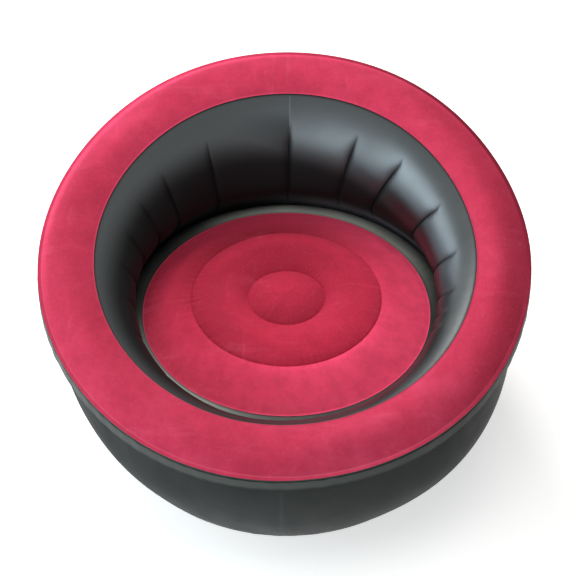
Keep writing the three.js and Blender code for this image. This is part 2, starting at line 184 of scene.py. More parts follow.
# Azimuth 0 is the front, and grows towards +X
def azimuths(count):
    return np.arange(count) * 2 * math.pi / count


def place(azimuth, radius, height, squash):
    """Points in metres from azimuth, radius, height and the front-to-back squash, broadcast together."""
    x = radius * np.sin(azimuth)
    y = -radius * squash * np.cos(azimuth)
    return np.stack(np.broadcast_arrays(x, y, height), -1) * MM


def rim_height(azimuth, radius, rise):
    return RIM_HEIGHT - radius * np.cos(azimuth) * math.sin(TILT) + rise


def round_the_sofa(azimuth, sizes):
    """A size that eases between its values at the front, at both sides and at the back."""
    front, side, back = sizes
    mean = (front + back) / 4 + side / 2
    oval = (front + back) / 4 - side / 2
    return mean + (front - back) / 2 * np.cos(azimuth) + oval * np.cos(2 * azimuth)


def ripples(azimuth, lowest, highest, terms=14):
    """A periodic random wave round the sofa, of about unit height, between two counts of waves a turn."""
    wave = np.zeros_like(azimuth)
    for _ in range(terms):
        count = rng.randint(lowest, highest + 1)
        wave = wave + np.sin(count * azimuth + rng.uniform(0, 2 * math.pi))
    return wave / math.sqrt(terms / 2)


def undulation(azimuth, share, terms=10, most=7):
    """A slow random swell over a panel, of about unit height."""
    wave = np.zeros(np.broadcast(azimuth, share).shape)
    for _ in range(terms):
        turns = rng.randint(2, most + 1)
        rows = rng.uniform(0.5, 2.5)
        round_wave = np.sin(turns * azimuth + rng.uniform(0, PHASES))
        wave = wave + round_wave * np.cos(rows * math.pi * share + rng.uniform(0, PHASES))
    return wave / math.sqrt(terms / 4)


def eased(low, high, value):
    x = np.clip((value - low) / (high - low), 0, 1)
    return x * x * (3 - 2 * x)


def drawn_in(azimuth, places):
    """How far a panel's line is drawn in towards the middle, in millimetres, at each azimuth."""
    depth = 0 * azimuth
    for middle, amount, width in places:
        away = (np.degrees(azimuth) - middle + 180) % 360 - 180
        depth = depth + amount * np.exp(-((away / width) ** 2))
    return depth


def towards(azimuth, middle, width, power=2):
    """1 on the side that faces middle, in degrees from the back towards +X, easing to 0 over width."""
    away = (180 - np.degrees(azimuth) - middle + 180) % 360 - 180
    return np.exp(-np.abs(away / width) ** power)


def row_normals(points):
    """Unit normals of a grid of points that closes on itself along its first direction."""
    around = np.roll(points, -1, 0) - np.roll(points, 1, 0)
    along = np.gradient(points, axis=1)
    normal = np.cross(around, along)
    return normal / np.maximum(np.linalg.norm(normal, axis=-1, keepdims=True), 1e-12)


def film_mesh(name, points, masks=None, hole=None):
    """A closed film through a grid of points, whose own normals face the side that is seen."""
    count, rows = points.shape[:2]
    back = points - row_normals(points) * FILM * MM
    vertices = np.concatenate([points.reshape(-1, 3), back.reshape(-1, 3)])
    i = np.arange(count)[:, None]
    j = np.arange(rows - 1)[None, :]
    following = (i + 1) % count
    here, there = i * rows + j, following * rows + j
    quads = np.stack(np.broadcast_arrays(here, there, there + 1, here + 1), -1).reshape(-1, 4)
    behind = quads[:, ::-1] + count * rows
    ends = []
    for row in (0, rows - 1):
        edge = np.arange(count) * rows + row
        after = np.roll(edge, -1)
        strip = np.stack([edge, edge + count * rows, after + count * rows, after], -1)
        ends.append(strip if row == 0 else strip[:, ::-1])
    faces = np.concatenate([quads, behind, *ends])
    mesh = bpy.data.meshes.new(name)
    mesh.from_pydata(vertices.tolist(), [], faces.tolist())
    for label, values in (masks or {}).items():
        layer = mesh.attributes.new(label, "FLOAT", "POINT")
        spread = np.broadcast_to(values, (count, rows)).reshape(-1)
        layer.data.foreach_set("value", np.concatenate([spread, spread]).astype(np.float32))
    piece = bpy.data.objects.new(name, mesh)
    bpy.context.scene.collection.objects.link(piece)
    if hole is not None:
        cut_hole(piece, *hole)
    tidy_mesh(piece)
    return piece


def tidy_mesh(piece):
    """Joins points that coincide, drops faces without area, turns all faces out and smooths flat edges."""
    work = bmesh.new()
    work.from_mesh(piece.data)
    bmesh.ops.remove_doubles(work, verts=work.verts, dist=1e-6)
    bmesh.ops.dissolve_degenerate(work, edges=work.edges, dist=1e-7)
    bmesh.ops.recalc_face_normals(work, faces=work.faces)
    work.to_mesh(piece.data)
    work.free()
    piece.data.shade_smooth()
    piece.data.set_sharp_from_angle(angle=SMOOTH_ANGLE)


def cut_hole(piece, valve, radius):
    bpy.ops.mesh.primitive_cylinder_add(vertices=DRILL_SIDES, radius=radius * MM, depth=HOLE_DEPTH * MM)
    drill = bpy.context.object
    drill.matrix_world = valve
    modifier = piece.modifiers.new("hole", "BOOLEAN")
    modifier.operation = "DIFFERENCE"
    modifier.solver = "EXACT"
    modifier.object = drill
    bpy.context.view_layer.objects.active = piece
    bpy.ops.object.modifier_apply(modifier=modifier.name)
    bpy.data.objects.remove(drill, do_unlink=True)


def facet_frame(upper, lower):
    """The valve's frame on the solid wall's flat facet at the back, between two lines round the wall.

    Each line gives radius, height and squash from the azimuth.
    """
    corners = (math.pi - math.pi / ROUND_STEPS, math.pi + math.pi / ROUND_STEPS)

    def middle(line):
        first, second = (place(azimuth, *line(azimuth)) for azimuth in corners)
        return Vector(((first + second) / 2).tolist())

    top, bottom = middle(upper), middle(lower)
    run = (bottom - top).normalized()
    normal = Vector((0, -run.z, run.y))
    turn = Matrix((Vector((1, 0, 0)), run, normal)).transposed().to_4x4()
    return Matrix.Translation((top + bottom) / 2) @ turn


def flatten(points, valve, flat, blend, reach, drop=0.0):
    """Draws the points near a valve onto its facet's plane, where its flange is welded.

    Sizes are in millimetres: flat is the radius that lies quite flat, blend the way on which this eases
    off, reach the height over the plane up to which points are drawn, drop how far down its middle lies.
    """
    local = (points - np.array(valve.translation)) @ np.array(valve.to_3x3())
    away = np.hypot(local[..., 0], local[..., 1] - drop * MM) / MM
    proud = np.abs(local[..., 2]) / MM
    near = (1 - eased(flat, flat + blend, away)) * (1 - eased(reach, 2 * reach, proud))
    return points - ((local[..., 2] + FLAT_SINK * MM) * near)[..., None] * np.array(valve.to_3x3())[:, 2]


# Materials
def srgb(red, green, blue):
    def linear(value):
        value /= 255
        return value / 12.92 if value <= 0.04045 else ((value + 0.055) / 1.055) ** 2.4
    return linear(red), linear(green), linear(blue), 1.0


class Nodes:
    """A small helper that lays a material's nodes."""

    def __init__(self, name):
        self.material = bpy.data.materials.new(name)
        self.material.use_nodes = True
        self.tree = self.material.node_tree
        self.shader = self.tree.nodes["Principled BSDF"]
        self.where = self.tree.nodes.new("ShaderNodeTexCoord").outputs["Object"]

    def link(self, source, target):
        self.tree.links.new(source, target)

    def feed(self, sockets, values):
        """Links each value to its socket if it comes out of a node, or else sets it there."""
        for socket, value in zip(sockets, values):
            if isinstance(value, bpy.types.NodeSocket):
                self.link(value, socket)
            else:
                socket.default_value = value

    def noise(self, scale, detail=3.0, roughness=0.55, stretch=None):
        node = self.tree.nodes.new("ShaderNodeTexNoise")
        node.inputs["Scale"].default_value = scale
        node.inputs["Detail"].default_value = detail
        node.inputs["Roughness"].default_value = roughness
        source = self.where
        if stretch:
            mapping = self.tree.nodes.new("ShaderNodeMapping")
            mapping.inputs["Scale"].default_value = stretch
            self.link(source, mapping.inputs["Vector"])
            source = mapping.outputs["Vector"]
        self.link(source, node.inputs["Vector"])
        return node.outputs["Fac"]

    def ramp(self, source, stops):
        node = self.tree.nodes.new("ShaderNodeValToRGB")
        elements = node.color_ramp.elements
        while len(elements) < len(stops):
            elements.new(0.5)
        for element, (position, colour) in zip(elements, stops):
            element.position = position
            element.color = colour
        self.link(source, node.inputs["Fac"])
        return node.outputs["Color"]

    def span(self, source, low, high, to_low, to_high):
        node = self.tree.nodes.new("ShaderNodeMapRange")
        ends = (("From Min", low), ("From Max", high), ("To Min", to_low), ("To Max", to_high))
        for label, value in ends:
            node.inputs[label].default_value = value
        self.link(source, node.inputs["Value"])
        return node.outputs["Result"]

    def mask(self, label):
        node = self.tree.nodes.new("ShaderNodeAttribute")
        node.attribute_name = label
        return node.outputs["Fac"]

    def mix(self, factor, first, second):
        node = self.tree.nodes.new("ShaderNodeMix")
        node.data_type = "RGBA"
        self.feed([socket for socket in node.inputs if socket.enabled], (factor, first, second))
        return [socket for socket in node.outputs if socket.enabled][0]

    def maths(self, operation, first, second):
        node = self.tree.nodes.new("ShaderNodeMath")
        node.operation = operation
        self.feed(node.inputs, (first, second))
        return node.outputs["Value"]

    def bump(self, height, strength, distance):
        node = self.tree.nodes.new("ShaderNodeBump")
        node.inputs["Strength"].default_value = strength
        node.inputs["Distance"].default_value = distance
        self.link(height, node.inputs["Height"])
        self.link(node.outputs["Normal"], self.shader.inputs["Normal"])

    def set(self, **values):
        for label, value in values.items():
            self.shader.inputs[label.replace("_", " ")].default_value = value


def red_flock():
    nodes = Nodes("red_flock_nap")
    patches = nodes.noise(6.0, 5.0, 0.6)
    reds = [(0.3, srgb(190, 49, 76)), (0.5, srgb(203, 56, 85)), (0.72, srgb(214, 68, 99))]
    colour = nodes.ramp(patches, reds)
    colour = nodes.mix(nodes.mask("deep_dye"), colour, srgb(203, 34, 58))
    # Painted shade and painted light: a darker red and a paler pink red, laid by masks where the lamps
    # fall less or more
    colour = nodes.mix(nodes.mask("flock_painted_shade"), colour, srgb(148, 33, 52))
    colour = nodes.mix(nodes.mask("flock_painted_light"), colour, srgb(255, 78, 116))
    strokes = nodes.span(nodes.noise(30.0, 4.0, 0.65), 0.38, 0.68, 0.0, 0.26)
    colour = nodes.mix(strokes, colour, srgb(150, 34, 54))
    specks = nodes.span(nodes.noise(170.0, 3.0, 0.7), 0.52, 0.72, 0.0, 0.09)
    colour = nodes.mix(specks, colour, srgb(238, 120, 146))
    for stretch, low, high in (((1.6, 9.0, 4.0), 0.58, 0.80), ((12.0, 3.0, 5.0), 0.62, 0.82)):
        smudge = nodes.span(nodes.noise(3.0, 4.0, 0.65, stretch), low, high, 0.0, 0.20)
        colour = nodes.mix(smudge, colour, srgb(240, 110, 138))
    lint = nodes.span(nodes.noise(480.0, 1.0, 0.5), 0.76, 0.80, 0.0, 0.35)
    colour = nodes.mix(lint, colour, srgb(240, 160, 178))
    # A paler line along the welds, partly their own colour and partly a painted highlight
    colour = nodes.mix(nodes.maths("MULTIPLY", nodes.mask("weld_line_and_highlight"), 0.45), colour, srgb(236, 118, 146))
    # Painted shadow: a dark maroon line along the rim's outer edge on its shaded side
    colour = nodes.mix(nodes.maths("MULTIPLY", nodes.mask("painted_edge_shadow"), 0.8), colour, srgb(104, 18, 34))
    nodes.link(colour, nodes.shader.inputs["Base Color"])
    nodes.set(Roughness=0.95, Specular_IOR_Level=0.12, Sheen_Weight=0.45, Sheen_Roughness=0.45)
    nodes.shader.inputs["Sheen Tint"].default_value = srgb(255, 125, 175)
    pile = nodes.noise(1500.0, 2.0, 0.6)
    tufts = nodes.noise(160.0, 3.0, 0.6)
    height = nodes.maths("ADD", pile, nodes.maths("MULTIPLY", tufts, 0.8))
    nodes.bump(height, 0.35, 0.0004)
    return nodes.material


def black_film(name, deep, light, painted_light, gloss, roughness, tint):
    """Black PVC film: deep and light are its clean tones, and the pale tone that a mask mixes in is
    painted light, laid with a rougher finish.
    """
    nodes = Nodes(name)
    nodes.set(Specular_Tint=tint)
    tone = nodes.noise(5.0, 4.0, 0.6)
    colour = nodes.ramp(tone, [(0.3, deep), (0.7, light)])
    dust = nodes.span(nodes.noise(90.0, 5.0, 0.7), 0.55, 0.8, 0.0, 0.10)
    colour = nodes.mix(dust, colour, srgb(70, 75, 72))
    # Painted light: a pale tone mixed in where a mask lays it, with a rougher finish there
    matt_painted_light = nodes.mask("matt_painted_light")
    colour = nodes.mix(nodes.maths("MULTIPLY", matt_painted_light, 0.9), colour, painted_light)
    # A paler grey line along the welds and lap seams, partly their own colour and partly a painted
    # highlight
    colour = nodes.mix(nodes.maths("MULTIPLY", nodes.mask("weld_line_and_highlight"), 0.6), colour, srgb(120, 126, 124))
    # Painted shade: near-black where the shade mask lies, and blacker still along the creases' folds
    shade = nodes.mask("shade")
    colour = nodes.mix(nodes.maths("MULTIPLY", shade, 0.85), colour, srgb(8, 8, 8))
    fold = nodes.mask("fold")
    colour = nodes.mix(nodes.maths("MULTIPLY", fold, 0.95), colour, srgb(3, 3, 3))
    nodes.link(colour, nodes.shader.inputs["Base Color"])
    rough = nodes.span(nodes.noise(14.0, 2.0, 0.5), 0.3, 0.7, *roughness)
    matt = nodes.maths("MAXIMUM", nodes.maths("MAXIMUM", nodes.maths("MULTIPLY", shade, 0.5), fold), matt_painted_light)
    rough = nodes.maths("ADD", rough, nodes.maths("MULTIPLY", matt, 0.5))
    nodes.link(rough, nodes.shader.inputs["Roughness"])
    dark = nodes.maths("MAXIMUM", nodes.maths("MULTIPLY", shade, 0.85), fold)
    nodes.link(nodes.span(dark, 0.0, 1.0, gloss, 0.04), nodes.shader.inputs["Specular IOR Level"])
    nodes.bump(nodes.noise(1600.0, 2.0, 0.5), 0.10, 0.0002)
    return nodes.material


def valve_finish(name, deep, light, roughness, scales, grain):
    """A moulded material; scales are those of its tones, its roughness and its grain."""
    nodes = Nodes(name)
    tones, patches, grains = scales
    colour = nodes.ramp(nodes.noise(tones, 4.0, 0.6), [(0.35, deep), (0.7, light)])
    nodes.link(colour, nodes.shader.inputs["Base Color"])
    rough = nodes.span(nodes.noise(patches, 3.0, 0.6), 0.3, 0.7, *roughness)
    nodes.link(rough, nodes.shader.inputs["Roughness"])
    nodes.bump(nodes.noise(grains, 2.0, 0.5), grain, 0.0002)
    return nodes.material


RED = red_flock()
INSIDE = black_film(
    "black_film_gloss", deep=srgb(19, 22, 22), light=srgb(26, 30, 29), painted_light=srgb(164, 174, 184),
    gloss=1.0, roughness=(0.28, 0.33), tint=(0.90, 0.97, 1.0, 1.0))
OUTSIDE = black_film(
    "black_film_satin", deep=srgb(15, 19, 19), light=srgb(22, 27, 25), painted_light=srgb(172, 178, 170),
    gloss=0.25, roughness=(0.44, 0.54), tint=(1.0, 1.0, 1.0, 1.0))
PLASTIC = valve_finish(
    "valve_plastic_satin", deep=srgb(46, 49, 52), light=srgb(58, 61, 64),
    roughness=(0.30, 0.45), scales=(60.0, 300.0, 1800.0), grain=0.10)
RUBBER = valve_finish(
    "valve_rubber_matte", deep=srgb(24, 25, 26), light=srgb(34, 35, 36),
    roughness=(0.62, 0.78), scales=(120.0, 500.0, 2400.0), grain=0.15)


def dress(piece, material, slot, *nodes, fill):
    """Gives a skin its material, hides the parts of the frame that it replaces and hangs it on the shell
    body; fill, how full it is padded, is not used.
    """
    piece.data.materials.clear()
    piece.data.materials.append(material)
    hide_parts(*nodes)
    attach(piece, "shell")


# The masks that the materials read are sums of strokes, and many of them paint light and shade into the
# colour.
# A stroke is its strength, times towards() for the side of the sofa where it lies, times eased() for the
# stretch across the panel that it covers.


# Rim top panel
def rim_panel():
    a = azimuths(RIM_COUNT)[:, None]
    inner, outer = RIM_INNER + RIM_INNER_WELD, RIM_OUTER - RIM_OUTER_WELD
    inner_weld = np.linspace(RIM_INNER, inner, 5)[:-1]
    outer_weld = np.linspace(outer, RIM_OUTER, 10)[1:]
    radius = np.concatenate([inner_weld, np.linspace(inner, outer, RIM_ROWS), outer_weld])[None, :]
    share = np.clip((radius - inner) / (outer - inner), 0, 1)
    arch = np.sin(math.pi * share)
    inner_puckers = ripples(a, 60, 130) * np.exp(-share * 9)
    outer_puckers = ripples(a, 60, 130) * np.exp(-(1 - share) * 9)
    puckers = RIM_PUCKER * (inner_puckers + outer_puckers)
    rise = RIM_CROWN * arch ** 0.9 + (puckers + RIM_SWELL * undulation(a, share)) * arch ** 0.4
    line = np.exp(-((radius - outer - 0.6) / 0.7) ** 2)
    pulled = radius - drawn_in(a, RIM_GIVE) * (RIM_INNER_GIVE + (1 - RIM_INNER_GIVE) * share)
    points = place(a, pulled, rim_height(a, pulled, rise - RIM_LINE_SINK * line), math.cos(TILT))
    edge = np.exp(-((radius - RIM_INNER) / 1.2) ** 2)
    front = 0.5 + 0.5 * np.cos(a)
    # Painted shade and painted light on the rim: darker on its shaded side, its left and its right, paler
    # on its inner band, with a painted sheen along its back edge
    shadowed_side = (0.5 - 0.5 * np.cos(a + math.radians(55))) ** 4
    inner_painted_light = 0.10 * (1 - eased(0.2, 0.7, share))
    back_painted_sheen = 0.6 * towards(a, -35, 60) * eased(0.82, 0.97, share)
    left_painted_shade = 0.42 * towards(a, -62, 55) * eased(0.45, 0.85, share) + 0.30 * towards(a, -95, 32)
    right_painted_shade = 0.54 * towards(a, 90, 42) * (0.35 + 0.65 * eased(0.2, 0.6, share))
    right_inner_painted_shade = 0.16 * towards(a, 110, 80, 4) * (1 - eased(0.1, 0.6, share))
    masks = {
        "weld_line_and_highlight": line * (0.35 + 0.65 * front) * (1 - shadowed_side) + 0.4 * edge,
        "painted_edge_shadow": eased(outer - 1.5, outer + 1.0, radius) * shadowed_side,
        "flock_painted_light": inner_painted_light + 0.08 + back_painted_sheen,
        "flock_painted_shade": left_painted_shade + right_painted_shade + right_inner_painted_shade,
    }
    piece = film_mesh("rim_top_skin", points, masks)
    dress(piece, RED, "red_flock", "rim_top_panel", fill=0.95)


# Lip band, with a rounded face between its two weld flanges
def lip_profile():
    """Radius and rise along the lip: top flange, face, round underside, crease flange."""
    flange = np.linspace(0.4, WELD, 5)
    straight = np.linspace(0, 1, LIP_ROWS)
    face_radius = RIM_OUTER + LIP_SWELL * np.sin(straight * math.pi / 2) * LIP_FULLNESS
    face_rise = -TILTED_LAYER + (TILTED_LAYER - LIP_STRAIGHT) * straight
    turn = np.linspace(0, math.pi / 2, LIP_ROWS)[1:]
    bottom_radius = CREASE_RADIUS + (face_radius[-1] - CREASE_RADIUS) * np.cos(turn)
    bottom_rise = -LIP_STRAIGHT - (LIP_DROP - LIP_STRAIGHT) * np.sin(turn)
    radius = np.concatenate([RIM_OUTER - flange[::-1], face_radius, bottom_radius, CREASE_RADIUS - flange])
    top_rise = np.full_like(flange, -TILTED_LAYER)
    low_rise = np.full_like(flange, -LIP_DROP)
    return radius, np.concatenate([top_rise, face_rise, bottom_rise, low_rise])


def lip_band():
    a = azimuths(RIM_COUNT)[:, None]
    radius, rise = (line[None, :] for line in lip_profile())
    face = eased(-1.5, -6, rise) * eased(-LIP_DROP, -LIP_DROP + 6, rise)
    waves = LIP_PUCKER * ripples(a, 40, 110) + LIP_WAVE * ripples(a, 3, 12)
    radius = radius + face * waves - drawn_in(a, RIM_GIVE)
    points = place(a, radius, rim_height(a, radius, rise), math.cos(TILT))
    face_ends = ((RIM_OUTER, -TILTED_LAYER), (RIM_OUTER + LIP_SWELL, -LIP_STRAIGHT))
    valve = facet_frame(*(
        lambda azimuth, end=end: (end[0], rim_height(azimuth, *end), math.cos(TILT)) for end in face_ends))
    points = flatten(points, valve, STEM_FLAT_RADIUS, STEM_BLEND, STEM_REACH, STEM_DROP)
    # Painted shade under the top weld and on the lip's underside, and a painted highlight across its face,
    # strongest at the front
    under_weld = 0.7 * eased(-1, -2.5, rise) * eased(-7, -4, rise)
    front_light = 0.3 + 0.7 * towards(a, 180, 45)
    masks = {
        "weld_line_and_highlight": 0.5 * eased(-2.2, -1.2, rise),
        "matt_painted_light": 0.13 * eased(-3, -7, rise) * eased(-26, -18, rise) * front_light,
        "shade": np.maximum(under_weld, eased(-22, -31, rise)),
    }
    piece = film_mesh("lip_band_skin", points, masks, hole=(valve, STEM_HOLE_RADIUS))
    dress(piece, OUTSIDE, "black_film", "lip_band", fill=0.95)


# Inner wall, with its creases and the swell of the film between them
def wall_columns(share):
    """The wall's columns, that run along its creases and crowd together at them.

    Gives every point's angle from the back in radians, each column's way from its crease to the next,
    0 to 1, the gap between these two creases in millimetres, and the strengths of both.
    """
    angles, ways, gaps, strengths = [], [], [], []
    lean = np.clip((share - LEAN_FOOT) / LEAN_RUN, 0, 1)
    lines = [(np.radians(bottom + (top - bottom) * lean), strength) for top, bottom, strength in CREASES]
    lines.append((lines[0][0] + 2 * math.pi, lines[0][1]))
    for (line, strength), (following, next_strength) in zip(lines, lines[1:]):
        gap = (following - line) * SEAM_RADIUS
        count = max(LEAST_COLUMNS, round(float(gap.mean()) / COLUMN_PITCH))
        for step in range(count):
            way = step / count
            way -= COLUMN_CROWDING * math.sin(2 * math.pi * way) / (2 * math.pi)
            angles.append(line + way * (following - line))
            ways.append(way)
            gaps.append(gap)
            strengths.append((strength, next_strength))
    return np.array(angles), np.array(ways)[:, None], np.array(gaps), np.array(strengths)[:, None, :]


def crease_field(a, share, ways, gaps, strengths):
    """How deep each point lies in a crease, how near its fold's line, and how far out between creases.

    Each is 0 to about 1.
    """
    top = share - HEAD_RAISE * towards(a, 75, 45)
    envelope = eased(*CREASE_FOOT, share) * (1 - eased(*CREASE_HEAD, top))
    right = np.sqrt((ways * gaps) ** 2 + CREASE_SOFTNESS ** 2) - CREASE_SOFTNESS
    left = np.sqrt(((1 - ways) * gaps) ** 2 + CREASE_SOFTNESS ** 2) - CREASE_SOFTNESS
    width = 0.8 + 0.45 * share
    after = strengths[..., 0] * np.exp(-right / (CREASE_RIGHT * width))
    before = strengths[..., 1] * np.exp(-left / (CREASE_LEFT * width))
    fold_after = strengths[..., 0] * np.exp(-right / FOLD_RIGHT)
    fold_before = strengths[..., 1] * np.exp(-left / FOLD_LEFT)
    line = np.maximum(fold_after, fold_before)
    lobes = np.sin(math.pi * ways ** 0.75) * np.clip(gaps / LOBE_PITCH, 0.4, 1.1)
    lobes = lobes * eased(0.05, 0.3, share) * (1 - eased(0.5, 0.97, share))
    return np.maximum(after, before) * envelope, line * envelope ** 0.4, lobes


def inner_wall():
    share = np.linspace(0, 1, INNER_WALL_ROWS)[None, :]
    from_back, ways, gaps, strengths = wall_columns(share[0])
    a = math.pi - from_back
    top_height = rim_height(a, RIM_INNER - RIM_INNER_GIVE * drawn_in(a, RIM_GIVE), -TILTED_LAYER)
    rise = top_height - SEAM_HEIGHT
    bulge = round_the_sofa(a, BULGE)
    equator = (round_the_sofa(a, EQUATOR_RISE) + EQUATOR_LIFT * towards(a, 50, 28)) / rise
    below = np.sin(math.pi / 2 * np.clip(share / equator, 0, 1)) ** LOWER_POWER
    climb = np.clip((share - equator) / (1 - equator), 0, 1)
    lowest = math.cos(math.pi / 2 * UPPER_REACH) ** UPPER_POWER
    above = (np.cos(math.pi / 2 * UPPER_REACH * climb) ** UPPER_POWER - lowest) / (1 - lowest)
    swell = np.where(share <= equator, below, above)
    fall, line, lobes = crease_field(a, share, ways, gaps, strengths)
    short = np.clip(rise / CREASE_FULL_RISE, 0.35, 1)
    radius = SEAM_RADIUS + (RIM_INNER - SEAM_RADIUS) * share - bulge * swell
    radius = radius + short * (CREASE_DEPTH * fall - LOBE_DEPTH * lobes)
    inside = np.sin(math.pi * share)
    puckers = ripples(a, 70, 150) * np.exp(-(1 - share) * 18) * inside ** 0.3
    radius = radius + WALL_PUCKER * puckers + WALL_SWELL * undulation(a, share) * inside
    radius = radius - RIM_INNER_GIVE * drawn_in(a, RIM_GIVE) * share ** 1.5
    from_lap = from_back * SEAM_RADIUS
    lap = np.exp(-(from_lap / 1.0) ** 2) * eased(0.66, 0.8, share) * (1 - eased(0.98, 1.0, share))
    radius = radius - INNER_LAP * lap
    height = SEAM_HEIGHT + rise * share
    squash = 1 + (math.cos(TILT) - 1) * share
    points = place(a, radius, height, squash)
    foot, head = a[:, :1], a[:, -1:]
    out = np.linspace(WELD, 2, 4)[None, :]
    low = place(foot, SEAM_RADIUS + out, np.full_like(foot, SEAM_HEIGHT), 1.0)
    high_radius = RIM_INNER + out[:, ::-1] - RIM_INNER_GIVE * drawn_in(head, RIM_GIVE)
    high = place(head, high_radius, rim_height(head, high_radius, -TILTED_LAYER), math.cos(TILT))
    points = np.concatenate([low, points, high], 1)
    edge = np.zeros((len(foot), out.shape[1]))
    # Painted shade over the lower wall, under the rim, left of the lap seam and along the creases; painted
    # light at the wall's foot at the back right, and a broad painted highlight on the right side
    left, right = towards(a, -80, 60), towards(a, 70, 55)
    shade_top = 0.50 + 0.15 * left - 0.14 * right + 0.18 * towards(a, -122, 40)
    shade_top = shade_top + 0.12 * towards(a, 106, 28) + 0.2 * towards(a, 180, 50)
    low_shade = 1 - eased(0, 1, (share - shade_top) / (0.26 + 0.06 * left - 0.10 * right))
    foot_light = (1 - eased(0.07, 0.27, share)) * towards(a, 38, 42, 4)
    under_rim = np.exp(-(1 - share) * rise / 1.5) + 0.12 * eased(0.8, 1, share)
    before_lap = (from_back < 0) * np.exp(-(np.degrees(from_back) / 14.0) ** 2)
    left_of_lap = 0.55 * before_lap * eased(0.4, 0.6, share) * (1 - eased(0.8, 0.95, share))
    shade = np.maximum(np.maximum(low_shade * (1 - 0.9 * foot_light), under_rim), left_of_lap)
    painted_highlight = 0.13 * towards(a, 64, 34, 4) * eased(0.56, 0.68, share) * (1 - eased(0.82, 0.92, share))
    masks = {
        "fold": np.concatenate([edge, np.clip(line, 0, 1), edge], 1),
        "shade": np.concatenate([edge + 1, shade, edge + 1], 1),
        "weld_line_and_highlight": np.concatenate([edge, 0.6 * lap, edge], 1),
        "matt_painted_light": np.concatenate([edge, np.maximum(0.85 * foot_light, painted_highlight), edge], 1),
    }
    piece = film_mesh("inner_wall_skin", points, masks)
    dress(piece, INSIDE, "black_film", "inner_wall", fill=0.95)


# Outer wall
def outer_line(a, share):
    """Radius, height and squash down the outer wall, from the crease at share 0 to the floor at 1."""
    top = rim_height(a, CREASE_RADIUS, OUTER_TOP_RISE)
    radius = CREASE_RADIUS + (FLOOR_RADIUS - CREASE_RADIUS) * share + OUTER_BULGE * np.sin(math.pi * share)
    height = top + (LAYER - top) * share
    squash = math.cos(TILT) + (1 - math.cos(TILT)) * share
    return radius, height, squash


def outer_wall():
    a = azimuths(RIM_COUNT)[:, None]
    share = np.linspace(0, 1, OUTER_WALL_ROWS)[None, :]
    radius, height, squash = outer_line(a, share)
    height = height + drawn_in(a, RIM_GIVE) * np.cos(a) * math.sin(TILT) * (1 - share)
    length = height[:, :1] - height[:, -1:]
    top_pucker = ripples(a, 45, 110) * np.exp(-share * length / 22.0)
    floor_pucker = ripples(a, 40, 90) * np.exp(-(1 - share) * length / 26.0)
    inside = np.sin(math.pi * share) ** 0.35
    puckers = OUTER_TOP_PUCKER * top_pucker + OUTER_FLOOR_PUCKER * floor_pucker
    radius = radius + inside * (puckers + OUTER_SWELL * undulation(a, share))
    radius = radius - drawn_in(a, RIM_GIVE) * (1 - share) ** 1.5
    radius = radius - drawn_in(a, WALL_GIVE) * np.sin(math.pi * share ** 1.2)
    from_lap = np.sin(a) * CREASE_RADIUS
    lap = np.exp(-((from_lap / 1.4) ** 2)) * (np.cos(a) > 0) * inside
    radius = radius + OUTER_LAP * lap
    points = place(a, radius, height, squash)
    flange = np.linspace(0.5, WELD, 4)
    top_radius = (CREASE_RADIUS - flange[::-1])[None, :] - drawn_in(a, RIM_GIVE)
    top = place(a, top_radius, rim_height(a, top_radius, OUTER_TOP_RISE), math.cos(TILT))
    low_radius = (FLOOR_RADIUS - flange)[None, :]
    low = place(a, low_radius, np.full_like(a, LAYER), 1.0)
    points = np.concatenate([top, points, low], 1)
    steps = ((OUTER_WALL_STEPS - 2) / OUTER_WALL_STEPS, (OUTER_WALL_STEPS - 1) / OUTER_WALL_STEPS)
    valve = facet_frame(*(lambda azimuth, step=step: outer_line(azimuth, step) for step in steps))
    points = flatten(points, valve, MAIN_FLAT_RADIUS, MAIN_BLEND, MAIN_REACH)
    side = np.zeros((len(a), len(flange)))
    # Painted shade under the lip's crease and on the wall's left and right sides
    crease = 0.7 * np.exp(-share * length / 7.0) + 0.3 * np.exp(-share * length / 45.0)
    turned = 0.76 * towards(a, -118, 38) + 0.35 * towards(a, 128, 30)
    masks = {
        "weld_line_and_highlight": np.concatenate([side, 0.12 * lap, side], 1),
        "shade": np.concatenate([side + 1, np.maximum(crease, turned), side], 1),
    }
    piece = film_mesh("outer_wall_skin", points, masks, hole=(valve, MAIN_HOLE_RADIUS))
    dress(piece, OUTSIDE, "black_film", "outer_wall", fill=0.95)


